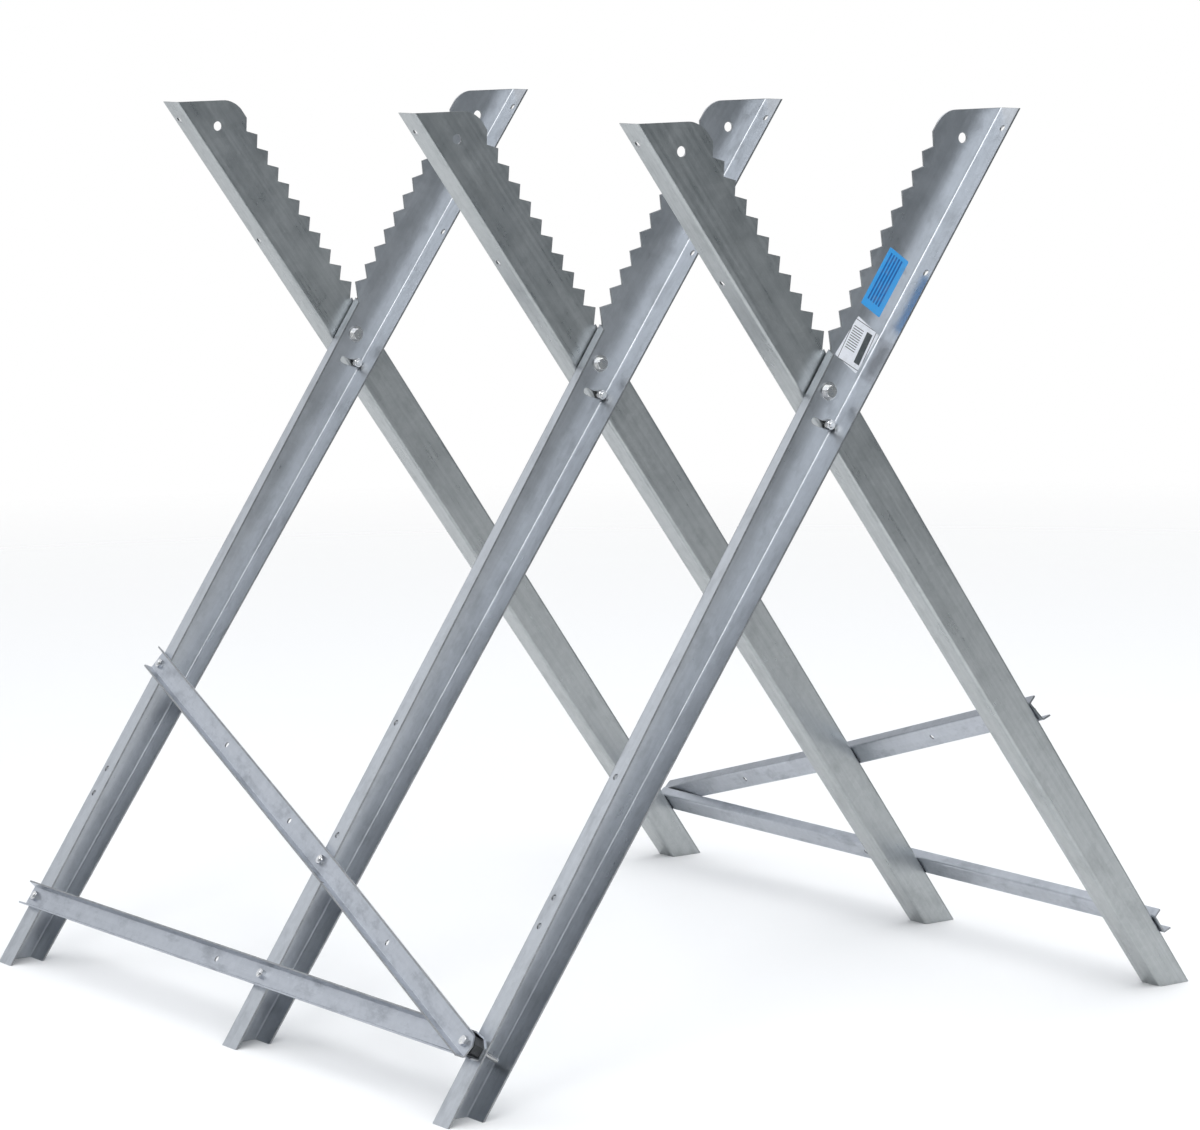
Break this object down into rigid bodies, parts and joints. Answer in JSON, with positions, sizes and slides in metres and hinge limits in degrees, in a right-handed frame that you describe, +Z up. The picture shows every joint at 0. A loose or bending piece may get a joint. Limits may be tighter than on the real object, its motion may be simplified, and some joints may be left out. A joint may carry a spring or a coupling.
{
  "type": "folding sawhorse",
  "caption": "Folding log sawhorse of galvanised sheet steel: crossed channel legs with toothed V jaws on pivots, limit screws in curved slots, and bolted channel braces",
  "frame": {"origin": "on the floor, under the middle of the standing sawhorse", "axes": "+X from the front legs' feet to the rear legs' feet, +Y along the log, +Z up"},
  "size_m": [0.8232, 0.8112, 0.8025],
  "materials": {
    "leg_zinc": "dull galvanised sheet, faint drawn lines and spangle, small scratches",
    "brace_zinc": "galvanised sheet, slightly brighter and bluer than the legs",
    "bright_zinc": "bright zinc plate",
    "black_plastic": "moulded, satin",
    "white_paper": "laminated sticker",
    "blue_paper": "laminated sticker"
  },
  "bodies": {
    "front_frame": {"front_leg_near": "leg_zinc", "front_leg_middle": "leg_zinc", "front_leg_far": "leg_zinc", "front_diagonal_brace": "brace_zinc", "front_lower_brace": "brace_zinc", "front_brace_bolts": "bright_zinc", "front_brace_nuts": "bright_zinc", "front_corner_bolt": "bright_zinc", "front_corner_nut": "bright_zinc", "front_corner_spacer": "black_plastic", "pivot_bolt_near": "bright_zinc", "pivot_nut_near": "bright_zinc", "pivot_bolt_middle": "bright_zinc", "pivot_nut_middle": "bright_zinc", "pivot_bolt_far": "bright_zinc", "pivot_nut_far": "bright_zinc", "pivot_washers": "bright_zinc", "pivot_spacers": "bright_zinc", "white_label": "white_paper", "blue_label": "blue_paper"},
    "rear_frame": {"rear_leg_near": "leg_zinc", "rear_leg_middle": "leg_zinc", "rear_leg_far": "leg_zinc", "rear_diagonal_brace": "brace_zinc", "rear_lower_brace": "brace_zinc", "rear_brace_bolts": "bright_zinc", "rear_brace_nuts": "bright_zinc", "rear_corner_bolt": "bright_zinc", "rear_corner_nut": "bright_zinc", "rear_corner_spacer": "black_plastic"},
    "limit_near": {"limit_screw_near": "bright_zinc", "limit_nut_near": "bright_zinc"},
    "limit_middle": {"limit_screw_middle": "bright_zinc", "limit_nut_middle": "bright_zinc"},
    "limit_far": {"limit_screw_far": "bright_zinc", "limit_nut_far": "bright_zinc"}
  },
  "joints": [
    {"name": "fold", "type": "hinge", "parent": "front_frame", "child": "rear_frame", "pos_m": [0, 0, 0.57], "axis": [0, 1, 0], "range_deg": [0, 64]},
    {"name": "limit_near_turn", "type": "hinge", "parent": "front_frame", "child": "limit_near", "pos_m": [0, -0.38, 0.57], "axis": [0, 1, 0], "range_deg": [0, 32]},
    {"name": "limit_middle_turn", "type": "hinge", "parent": "front_frame", "child": "limit_middle", "pos_m": [0, -0.04, 0.57], "axis": [0, 1, 0], "range_deg": [0, 32]},
    {"name": "limit_far_turn", "type": "hinge", "parent": "front_frame", "child": "limit_far", "pos_m": [0, 0.38, 0.57], "axis": [0, 1, 0], "range_deg": [0, 32]}
  ],
  "couplings": [
    {"joint": "limit_near_turn", "follows": "fold", "ratio": 0.5},
    {"joint": "limit_middle_turn", "follows": "fold", "ratio": 0.5},
    {"joint": "limit_far_turn", "follows": "fold", "ratio": 0.5}
  ]
}
